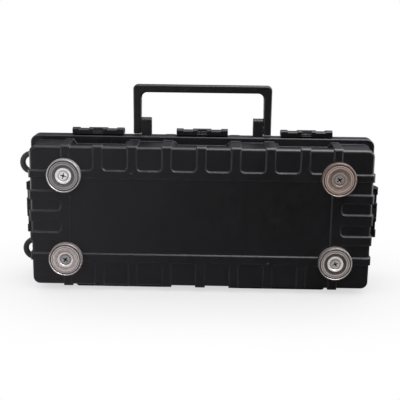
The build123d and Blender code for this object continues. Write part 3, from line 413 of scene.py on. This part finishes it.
def cell_sleeve(name):
    """Wrinkled blue shrink sleeve, with bare metal on the faces that look along X."""
    mat = Surface(name)
    wrinkles = mat.noise(scale=160.0, detail=4.0, rough=0.6, stretch=(0.25, 1.0, 1.0),
                         distort=0.5)
    clouds = mat.noise(scale=18.0)
    normal_x = mat.split(mat.node("NewGeometry").outputs["Normal"])[0]
    end_cap = mat.remap(mat.math("ABSOLUTE", normal_x), span=(0.75, 0.9))

    colour = mat.mix(mat.remap(wrinkles, span=(0.35, 0.7)),
                     (0.012, 0.060, 0.22), (0.02, 0.10, 0.34))
    colour = mat.layer(colour, (0.010, 0.045, 0.16), mask=mat.remap(clouds, span=(0.4, 0.7)),
                       strength=0.4)
    return mat.finish({
        "Base Color": mat.mix(end_cap, colour, (0.52, 0.51, 0.49)),
        "Metallic": mat.times(end_cap, 0.9), "Coat Weight": 0.25,
        "Roughness": mat.remap(wrinkles, span=(0.3, 0.7), to=(0.22, 0.38)),
        "Normal": mat.bump(wrinkles, depth=0.0001, strength=0.6, normal=mat.bevel(0.0006))})


def dark_display(name):
    """Near-black screen with a fine dot grid in X and Z."""
    mat = Surface(name)
    x, _, z = mat.split(mat.coord)
    grid = mat.times(*[mat.math("SINE", mat.times(axis, 9000.0)) for axis in (x, z)])
    haze = mat.noise(scale=40.0, detail=3.0)
    colour = mat.mix(mat.remap(haze, span=(0.3, 0.7)),
                     (0.004, 0.007, 0.008), (0.010, 0.016, 0.018))
    return mat.finish({
        "Base Color": mat.mix(mat.remap(grid, span=(0.2, 0.9)), colour, (0.016, 0.022, 0.024)),
        "Roughness": mat.remap(haze, span=(0.3, 0.7), to=(0.14, 0.28)),
        "Normal": mat.bump(grid, depth=0.00001, strength=0.3)})


def glow(name, colour):
    """Lit display segment."""
    mat = Surface(name)
    speckle = mat.noise(scale=600.0)
    return mat.finish({
        "Base Color": mat.mix(speckle, scaled(colour, 0.5), colour),
        "Roughness": mat.remap(speckle, span=(0.3, 0.7), to=(0.3, 0.5)),
        "Emission Color": colour,
        "Emission Strength": mat.remap(speckle, span=(0.3, 0.7), to=(1.2, 1.8))})


# ------------------------------------------------------------------ materials
MATERIALS = {
    # the case's strongly lightened edges are mostly a painted highlight
    "case": plastic("case_plastic", base=(0.0030, 0.0030, 0.0037), rough=0.34, grain=1500.0,
                    grain_depth=0.00005, bevel=0.0012, edge_wear_and_highlight=0.80,
                    wear_and_highlight_colour=(0.135, 0.130, 0.145), mottle=0.04, scuff=0.08),
    "latch": plastic("latch_plastic", base=(0.0022, 0.0022, 0.0025), rough=0.28, grain=1700.0,
                     bevel=0.0006, edge_wear_and_highlight=0.6, wear_and_highlight_colour=(0.10, 0.097, 0.105), specular=0.42),
    "handle": plastic("handle_plastic", base=(0.0026, 0.0026, 0.0029), rough=0.33, grain=1600.0,
                      bevel=0.0008, edge_wear_and_highlight=0.5, scuff=0.5),
    "plate": plastic("faceplate_plastic", base=(0.014, 0.014, 0.015), rough=0.5, grain=1000.0,
                     grain_depth=0.00012, bevel=0.0005, specular=0.45),
    "socket": plastic("socket_plastic", base=(0.010, 0.010, 0.011), rough=0.30, grain=2200.0,
                      bevel=0.0004),
    "holder": plastic("holder_plastic", base=(0.020, 0.020, 0.021), rough=0.5, grain=1400.0,
                      bevel=0.0005),
    "red": plastic("red_plastic", base=(0.42, 0.012, 0.010), rough=0.26, grain=2000.0,
                   bevel=0.0005, wear_and_highlight_colour=(0.62, 0.16, 0.13), mottle=0.04),
    "black_knob": plastic("black_knob_plastic", base=(0.010, 0.010, 0.011), rough=0.24,
                          grain=2000.0, bevel=0.0005, edge_wear_and_highlight=0.4, mottle=0.04),
    "mark": plastic("mark_paint", base=(0.55, 0.55, 0.54), rough=0.45, grain=1500.0,
                    bevel=0.0001, edge_wear_and_highlight=0.3, wear_and_highlight_colour=(0.35, 0.35, 0.35)),
    "potting": plastic("potting_resin", base=(0.030, 0.026, 0.023), rough=0.42, grain=700.0,
                       grain_depth=0.0001, bevel=0.0003, edge_wear_and_highlight=0.1),
    "chip": plastic("chip_package", base=(0.012, 0.012, 0.012), rough=0.48, grain=2600.0,
                    bevel=0.0003, edge_wear_and_highlight=0.2),
    "rubber": rubber("gasket_rubber", base=(0.012, 0.012, 0.012)),
    "eye": rubber("eye_rubber", base=(0.018, 0.018, 0.019), rough=0.46, dust=0.12),
    "cap": rubber("cap_rubber", base=(0.014, 0.014, 0.015), rough=0.55),
    "button": rubber("button_rubber", base=(0.36, 0.015, 0.012), rough=0.5),
    "wire_red": rubber("wire_red", base=(0.36, 0.012, 0.010), rough=0.42, grain=1400.0),
    "wire_black": rubber("wire_black", base=(0.012, 0.012, 0.012), rough=0.42, grain=1400.0),
    "steel": metal("pin_steel", base=(0.55, 0.55, 0.56), brush=(0.15, 1.0, 1.0)),
    "zinc": metal("zinc_plate", base=(0.62, 0.62, 0.63), rough=0.3, tarnish=0.35),
    "strip": metal("nickel_strip", base=(0.62, 0.60, 0.55), rough=0.26, brush=(1.0, 1.0, 0.12)),
    "sink": metal("heatsink_aluminium", base=(0.70, 0.70, 0.72), rough=0.36,
                  brush=(1.0, 1.0, 0.08)),
    "brass": metal("contact_brass", base=(0.68, 0.50, 0.24), brush=(1.0, 0.2, 1.0),
                   tarnish_colour=(0.16, 0.10, 0.05)),
    "cup": turned_nickel(
        "nickel_cup", groove=0.01755, rough=0.30, land=(1.45, 0.80, 1.15, 1.55),
        nickel_and_reflection_tones=((0.62, 0.61, 0.605), (0.37, 0.30, 0.265),
               (0.58, 0.53, 0.515), (0.46, 0.425, 0.405))),
    "ring": turned_nickel(
        "magnet_nickel", groove=0.01385, rough=0.40, metallic=0.42, ring_rate=2600.0,
        dirt=0.45, dish=(0.42, 0.55, 0.98, 0.20),
        nickel_and_reflection_tones=((0.27, 0.265, 0.265), (0.36, 0.272, 0.233),
               (0.45, 0.40, 0.39), (0.33, 0.295, 0.275))),
    "screw": turned_nickel(
        "magnet_screw_zinc", groove=0.0051, rough=0.30, ring_rate=5200.0, dirt=0.35,
        shade_span=(-0.04965, -0.0490),
        nickel_and_reflection_tones=((0.74, 0.74, 0.73), (0.25, 0.22, 0.205),
               (0.30, 0.30, 0.30), (0.42, 0.41, 0.405))),
    "window": glassy("window_clear", base=(0.03, 0.035, 0.04)),
    "fuse_glass": glassy("fuse_glass", base=(0.6, 0.65, 0.65), alpha=0.4),
    "foam": foam("liner_foam", base=(0.042, 0.042, 0.045)),
    "sheet_foam": foam("sheet_foam", base=(0.10, 0.10, 0.105), cell_scale=2200.0),
    "board": circuit_board("board_green"),
    "cell": cell_sleeve("cell_sleeve"),
    "display": dark_display("display_dark"),
    "glow": glow("digit_glow", colour=(0.10, 0.85, 0.55)),
}

# material: the CAD pieces that wear it; any other piece gets "socket"
PIECES = {
    "case": "base_shell lid_shell",
    "rubber": "rim_gasket",
    "steel": "hinge_pins handle_pins latch_pins cap_pins",
    "latch": "latch_left_end latch_right_end latch_top_left latch_top_middle latch_top_right",
    "handle": "carry_handle",
    "cup": "magnet_cups",
    "ring": "magnet_rings",
    "potting": "magnet_potting",
    "screw": "magnet_screws",
    "zinc": "magnet_washers magnet_nuts board_screws faceplate_screws strap_eye_screws",
    "cell": "battery_cells",
    "holder": "cell_holders vent_valve_nut",
    "strip": "nickel_strips",
    "sheet_foam": "cell_foam_sheet",
    "board": "protection_board",
    "chip": "board_components",
    "sink": "board_heatsink",
    "plate": "faceplate",
    "brass": "socket_contacts post_studs",
    "cap": "accessory_cap usb_cap charge_port_cap",
    "red": "switch_rocker post_knob_positive",
    "window": "meter_window",
    "display": "meter_display",
    "button": "meter_button",
    "black_knob": "fuse_cap post_knob_negative",
    "fuse_glass": "fuse_cartridge",
    "wire_red": "lead_positive",
    "wire_black": "lead_negative",
    "eye": "strap_eyes",
    "foam": "lid_foam",
}


def dress_pieces():
    """Put one material in every slot of each CAD piece."""
    chosen = {piece: key for key, pieces in PIECES.items() for piece in pieces.split()}
    for name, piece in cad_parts.items():
        material = MATERIALS[chosen.get(name, "socket")]
        slots = piece.data.materials
        if not len(slots):
            slots.append(material)
        for i in range(len(slots)):
            slots[i] = material


dress_pieces()


# ------------------------------------------------------------------ mesh helpers
def mesh_object(name, shape, material, smooth):
    mesh = bpy.data.meshes.new(name)
    bmesh.ops.recalc_face_normals(shape, faces=shape.faces)
    shape.to_mesh(mesh)
    shape.free()
    mesh.materials.append(material)
    for face in mesh.polygons:
        face.use_smooth = smooth
    piece = bpy.data.objects.new(name, mesh)
    SCENE.collection.objects.link(piece)
    return piece


def bar(shape, start, end, width, y_low, y_high):
    """Round-ended bar between two (x, z) points; its +Y face is narrowed by a quarter."""
    cap_steps = 6
    start = Vector((start[0], 0, start[1]))
    end = Vector((end[0], 0, end[1]))
    middle = (start + end) / 2
    along = (end - start).normalized()
    across = Vector((-along.z, 0, along.x))
    outline = []
    for centre, first_angle in ((end, -math.pi / 2), (start, math.pi / 2)):
        for k in range(cap_steps + 1):
            angle = first_angle + math.pi * k / cap_steps
            reach = along * math.cos(angle) + across * math.sin(angle)
            outline.append(centre + reach * width / 2)

    y_shoulder = y_high - (y_high - y_low) * 0.35
    bottom = [shape.verts.new((p.x, y_low, p.z)) for p in outline]
    shoulder = [shape.verts.new((p.x, y_shoulder, p.z)) for p in outline]
    top = []
    for p in outline:
        offset = (p - middle).dot(across)
        top.append(shape.verts.new((p.x - across.x * offset * 0.25, y_high,
                                    p.z - across.z * offset * 0.25)))
    for lower, upper in ((bottom, shoulder), (shoulder, top)):
        for i in range(len(outline)):
            j = (i + 1) % len(outline)
            shape.faces.new((lower[i], lower[j], upper[j], upper[i]))
    shape.faces.new(top)
    shape.faces.new(list(reversed(bottom)))


def ring(shape, radius, width, y_low, y_high):
    """Flat ring of square section about the Y axis."""
    steps = 40
    inner, outer = radius - width / 2, radius + width / 2
    rows = []
    for reach, y in ((inner, y_low), (inner, y_high), (outer, y_high), (outer, y_low)):
        angles = [2 * math.pi * k / steps for k in range(steps)]
        rows.append([shape.verts.new((reach * math.cos(a), y, reach * math.sin(a)))
                     for a in angles])
    for i in range(4):
        row, next_row = rows[i], rows[(i + 1) % 4]
        for k in range(steps):
            m = (k + 1) % steps
            shape.faces.new((row[k], row[m], next_row[m], next_row[k]))


# ------------------------------------------------------------------ foam liner in the lid
FOAM_GAP = 0.0006            # in from the CAD foam block on its sides and -Y face
FOAM_BACK_GAP = 0.0002       # in from its +Y face, which lies against the lid
FOAM_COLUMNS, FOAM_ROWS = 132, 72
CREST_PITCH = 0.0215
CREST_HEIGHT = 0.0105
CREST_LIFT = 0.0005          # extra clearance of the crests, towards the lid
SAG = 0.0005
EDGE_WIDTH, EDGE_DROP = 0.006, 0.003       # rounding along the outline
HOLLOW_RADIUS, HOLLOW_SLOPE = 0.0105, 0.006
HOLLOW_FLOOR = 0.0022        # foam left between the hollow and the back


def foam_liner():
    """Convoluted sheet with its crests towards -Y, hollowed round the vent valve nut."""
    low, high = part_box("lid_foam")
    nut_low, nut_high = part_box("vent_valve_nut")
    nut_x = (nut_low.x + nut_high.x) / 2
    x0, x1 = low.x + FOAM_GAP, high.x - FOAM_GAP
    z0, z1 = low.z + FOAM_GAP, high.z - FOAM_GAP
    y_back = high.y - FOAM_BACK_GAP
    y_crest = low.y + FOAM_GAP

    def front_y(x, z):
        edge = min(1.0, min(x - x0, x1 - x, z - z0, z1 - z) / EDGE_WIDTH)
        wave = 0.5 + 0.5 * (math.sin((x - x0) / CREST_PITCH * 2 * math.pi)
                            * math.sin((z - z0) / CREST_PITCH * 2 * math.pi))
        wave = wave ** 0.85
        sag = SAG * math.sin(x * 71.0) * math.cos(z * 53.0)
        y = y_crest + CREST_HEIGHT * (1 - wave) + sag + CREST_LIFT
        y += (1 - edge) ** 2 * EDGE_DROP
        # the hollow runs on upwards from the bottom of the nut
        distance = math.hypot(x - nut_x, max(0.0, nut_low.z - z))
        hollow = max(0.0, 1 - max(0.0, distance - HOLLOW_RADIUS) / HOLLOW_SLOPE)
        return y + (y_back - HOLLOW_FLOOR - y) * min(1.0, hollow * 1.25)

    shape = bmesh.new()
    front, back = [], []
    for i in range(FOAM_COLUMNS + 1):
        x = x0 + (x1 - x0) * i / FOAM_COLUMNS
        front.append([])
        back.append([])
        for j in range(FOAM_ROWS + 1):
            z = z0 + (z1 - z0) * j / FOAM_ROWS
            front[i].append(shape.verts.new((x, front_y(x, z), z)))
            back[i].append(shape.verts.new((x, y_back, z)))

    face = shape.faces.new
    for i in range(FOAM_COLUMNS):
        for j in range(FOAM_ROWS):
            face((front[i][j], front[i + 1][j], front[i + 1][j + 1], front[i][j + 1]))
            face((back[i][j + 1], back[i + 1][j + 1], back[i + 1][j], back[i][j]))
    for i in range(FOAM_COLUMNS):
        face((front[i + 1][0], front[i][0], back[i][0], back[i + 1][0]))
        face((front[i][-1], front[i + 1][-1], back[i + 1][-1], back[i][-1]))
    for j in range(FOAM_ROWS):
        face((front[0][j], front[0][j + 1], back[0][j + 1], back[0][j]))
        face((front[-1][j + 1], front[-1][j], back[-1][j], back[-1][j + 1]))
    liner = mesh_object("foam_liner", shape, MATERIALS["foam"], smooth=True)
    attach(liner, "lid")
    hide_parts("lid_foam")


foam_liner()

# ------------------------------------------------------------------ meter digits
# lit segments: a top, b and c right, d bottom, e and f left, g middle
SEGMENTS = {
    "0": "abcdef", "1": "bc", "2": "abged", "3": "abgcd", "4": "fgbc",
    "5": "afgcd", "6": "afgedc", "7": "abc", "8": "abcdefg", "9": "abcdfg",
}
DIGIT_WIDTH, DIGIT_HEIGHT, DIGIT_PITCH = 0.0046, 0.0100, 0.0074
SEGMENT_WIDTH, SEGMENT_GAP = 0.00115, 0.0007
POINT_WIDTH = 0.0014


def meter_digits(text):
    """Raised segments on the +Y face of the display; seen from there, text runs to -X."""
    low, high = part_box("meter_display")
    y_span = (high.y - 0.00002, high.y + 0.00028)
    middle = (low.z + high.z) / 2
    top, bottom = middle + DIGIT_HEIGHT / 2, middle - DIGIT_HEIGHT / 2
    gap = SEGMENT_GAP
    x = (low.x + high.x) / 2 + DIGIT_PITCH * 1.32
    shape = bmesh.new()
    for character in text:
        if character == ".":
            point_x, point_z = x + DIGIT_PITCH * 0.47, bottom - 0.0002
            bar(shape, (point_x, point_z), (point_x + 0.0001, point_z), POINT_WIDTH, *y_span)
            continue
        left, right = x + DIGIT_WIDTH / 2, x - DIGIT_WIDTH / 2
        ends = {
            "a": ((left - gap, top), (right + gap, top)),
            "b": ((right, top - gap), (right, middle + gap)),
            "c": ((right, middle - gap), (right, bottom + gap)),
            "d": ((left - gap, bottom), (right + gap, bottom)),
            "e": ((left, middle - gap), (left, bottom + gap)),
            "f": ((left, top - gap), (left, middle + gap)),
            "g": ((left - gap, middle), (right + gap, middle)),
        }
        for segment in SEGMENTS[character]:
            bar(shape, *ends[segment], SEGMENT_WIDTH, *y_span)
        x -= DIGIT_PITCH
    digits = mesh_object("meter_digits", shape, MATERIALS["glow"], smooth=False)
    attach(digits, "base")


meter_digits("13.1")

# ------------------------------------------------------------------ painted marks
MARK_SINK, MARK_HEIGHT = -0.00005, 0.0003      # y span of a mark about its surface


def polarity_marks():
    """Plus and minus on the faceplate, below the two post knobs."""
    drop, arm, width = 0.0058, 0.0022, 0.0011
    face_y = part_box("faceplate")[1].y
    y_span = (face_y + MARK_SINK, face_y + MARK_HEIGHT)
    shape = bmesh.new()
    for knob, is_plus in (("post_knob_positive", True), ("post_knob_negative", False)):
        low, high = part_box(knob)
        x, z = (low.x + high.x) / 2, low.z - drop
        bar(shape, (x - arm, z), (x + arm, z), width, *y_span)
        if is_plus:
            bar(shape, (x, z - arm), (x, z + arm), width, *y_span)
    marks = mesh_object("polarity_marks", shape, MATERIALS["mark"], smooth=False)
    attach(marks, "base")


polarity_marks()

ROCKER_PIVOT = (0.152, 0.0, 0.104)
ROCKER_TURN = math.radians(-9.0)
ROCKER_HALF_LENGTH = 0.0082
ROCKER_MIDDLE_HEIGHT, ROCKER_END_HEIGHT = 0.0039, 0.0063
ROCKER_MARK_OFFSET = 0.0046                    # from the pivot, along each face's X


def rocker_marks():
    """A line on the -X face and a ring on the +X face of the tilted rocker."""
    slope = math.atan2(ROCKER_END_HEIGHT - ROCKER_MIDDLE_HEIGHT, ROCKER_HALF_LENGTH)
    height = ROCKER_MIDDLE_HEIGHT + ROCKER_MARK_OFFSET * math.tan(slope)
    shape = bmesh.new()
    for side in (-1, 1):
        count = len(shape.verts)
        if side > 0:
            ring(shape, radius=0.0015, width=0.0006, y_low=MARK_SINK, y_high=MARK_HEIGHT)
        else:
            bar(shape, (0, -0.0016), (0, 0.0016), 0.0007, MARK_SINK, MARK_HEIGHT)
        placing = (Matrix.Translation(ROCKER_PIVOT)
                   @ Matrix.Rotation(ROCKER_TURN, 4, "Z")
                   @ Matrix.Translation((side * ROCKER_MARK_OFFSET, height, 0.0))
                   @ Matrix.Rotation(side * slope, 4, "Z"))
        bmesh.ops.transform(shape, matrix=placing, verts=list(shape.verts)[count:])
    marks = mesh_object("rocker_marks", shape, MATERIALS["mark"], smooth=False)
    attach(marks, "switch_rocker")


rocker_marks()


# ------------------------------------------------------------------ floor
def floor_paper():
    """White paper that looks different to each kind of ray."""
    material = bpy.data.materials.new("floor_paper")
    graph = Graph(material)
    rays = graph.node("LightPath").outputs
    x, y, _ = graph.split(graph.node("TexCoord").outputs["Object"])

    # reflections see a floor that darkens towards +X
    darkening = graph.remap(x, span=(-0.34, 0.22), smooth=True)
    ground = graph.mix(darkening, (0.46, 0.445, 0.475), (0.022, 0.021, 0.022))
    # reflectors lie to the right and left, so edges that face them catch a line of light
    distance = graph.node("Math", {0: x}, operation="ABSOLUTE").outputs[0]
    far_out = graph.remap(distance, span=(0.38, 0.72), smooth=True)
    set_back = graph.remap(y, span=(-0.55, -0.20), smooth=True)
    card = graph.node("Math", {0: far_out, 1: set_back}, operation="MULTIPLY").outputs[0]
    mirrored = graph.mix(card, ground, (3.0, 2.9, 3.05))
    reflected = graph.mix_shader(
        rays["Is Glossy Ray"],
        graph.node("BsdfDiffuse", {"Color": (0.955, 0.955, 0.955)}).outputs[0],
        graph.node("Emission", {"Color": mirrored}).outputs[0])

    # the camera sees only a soft contact shadow; the lid swings below this plane when
    # the standing case is opened, and stays in sight
    occlusion = graph.node("AmbientOcclusion", {"Distance": 0.16}, samples=12).outputs["AO"]
    clear = graph.node("BsdfTransparent").outputs[0]
    # painted shadow: the grey drawn where the floor is occluded
    painted_shadow_colour = graph.node("Emission", {"Color": (0.10, 0.10, 0.105)}).outputs[0]
    shadow = graph.remap(occlusion, span=(0.0, 0.97), to=(0.42, 0.0))
    paper = graph.mix_shader(shadow, clear, painted_shadow_colour)
    seen = graph.mix_shader(rays["Is Camera Ray"], reflected, paper)
    surface = graph.mix_shader(rays["Is Shadow Ray"], seen, clear)
    graph.node("OutputMaterial", {"Surface": surface})
    return material


def add_floor():
    half = 40.0
    mesh = bpy.data.meshes.new("floor")
    corners = [(-half, -half, 0), (half, -half, 0), (half, half, 0), (-half, half, 0)]
    mesh.from_pydata(corners, [], [(0, 1, 2, 3)])
    floor = bpy.data.objects.new("floor", mesh)
    floor.location.z = -0.0002
    SCENE.collection.objects.link(floor)
    mesh.materials.append(floor_paper())


add_floor()


# ------------------------------------------------------------------ world, lights, camera
def add_world():
    """White to the camera, an upper half dome for diffuse light, a top glow in reflections."""
    world = bpy.data.worlds.new("studio")
    SCENE.world = world
    graph = Graph(world)
    rays = graph.node("LightPath").outputs
    x, _, z = graph.split(graph.node("TexCoord").outputs["Generated"])

    def background(colour, strength):
        return graph.node("Background", {"Color": colour, "Strength": strength}).outputs[0]

    # the floor covers everything below, so no light comes from under it
    dome = background((1.0, 1.0, 1.0), graph.remap(z, span=(-0.02, 0.02)))
    # the soft box hangs a little to the right, so the top glow leans that way
    lean = graph.node("Math", {0: x, 1: 0.30, 2: z}, operation="MULTIPLY_ADD").outputs[0]
    strength = graph.remap(lean, span=(0.24, 0.76), to=(0.03, 1.45), smooth=True)
    top_glow = background((0.95, 0.91, 1.0), strength)
    white = background((1.0, 1.0, 1.0), 1.0)
    light = graph.mix_shader(rays["Is Glossy Ray"], dome, top_glow)
    graph.node("OutputWorld", {"Surface": graph.mix_shader(rays["Is Camera Ray"], light, white)})


add_world()

# name, location, target, (width, height), power in watts, colour
LIGHTS = (
    ("key_upper_right", (0.80, -0.30, 1.15), (0.0, 0.0, 0.10), (0.50, 0.7), 12.0,
     (1.0, 0.99, 0.985)),
    ("top_strip", (0.25, -0.10, 1.25), (0.0, 0.0, 0.10), (1.2, 0.5), 12.0, (0.98, 0.985, 1.0)),
    ("side_right", (1.35, 0.10, 0.42), (0.1, 0.0, 0.09), (0.5, 0.7), 7.0, (1.0, 0.99, 0.985)),
    ("fill_left", (-1.25, -0.95, 0.45), (-0.1, 0.0, 0.09), (0.9, None), 4.0,
     (0.985, 0.985, 1.0)),
)


def add_light(name, location, target, size, power, colour):
    """Area light aimed at target; without a height it is square."""
    light = bpy.data.lights.new(name, "AREA")
    light.energy = power
    light.color = colour
    light.size, height = size
    if height:
        light.shape = "RECTANGLE"
        light.size_y = height
    lamp = bpy.data.objects.new(name, light)
    lamp.location = location
    lamp.rotation_mode = "QUATERNION"
    aim = Vector(target) - Vector(location)
    lamp.rotation_quaternion = aim.to_track_quat("-Z", "Y")
    SCENE.collection.objects.link(lamp)


for entry in LIGHTS:
    add_light(*entry)

CAMERA_PLACE = (0.01395, -0.92894, 0.32465)
CAMERA_YAW = math.radians(-0.96)        # from +Y towards +X
CAMERA_PITCH = math.radians(14.0)       # downwards
CAMERA_ROLL = math.radians(0.68)


def add_camera():
    lens = bpy.data.cameras.new("camera")
    lens.sensor_fit = "HORIZONTAL"
    lens.sensor_width = 36.0
    lens.lens = 77.4
    lens.clip_start = 0.01
    lens.clip_end = 200.0
    camera = bpy.data.objects.new("camera", lens)
    SCENE.collection.objects.link(camera)
    yaw, pitch, roll = CAMERA_YAW, CAMERA_PITCH, CAMERA_ROLL
    forward = Vector((math.sin(yaw) * math.cos(pitch), math.cos(yaw) * math.cos(pitch),
                      -math.sin(pitch)))
    level = Vector((math.cos(yaw), -math.sin(yaw), 0.0))
    upright = level.cross(forward)
    right = level * math.cos(roll) + upright * math.sin(roll)
    up = -level * math.sin(roll) + upright * math.cos(roll)
    turn = Matrix((right, up, -forward)).transposed()
    camera.matrix_world = Matrix.Translation(CAMERA_PLACE) @ turn.to_4x4()
    SCENE.camera = camera


add_camera()

SCENE.view_settings.view_transform = "Standard"
SCENE.view_settings.look = "None"
SCENE.view_settings.exposure = 0.0
SCENE.view_settings.gamma = 1.0
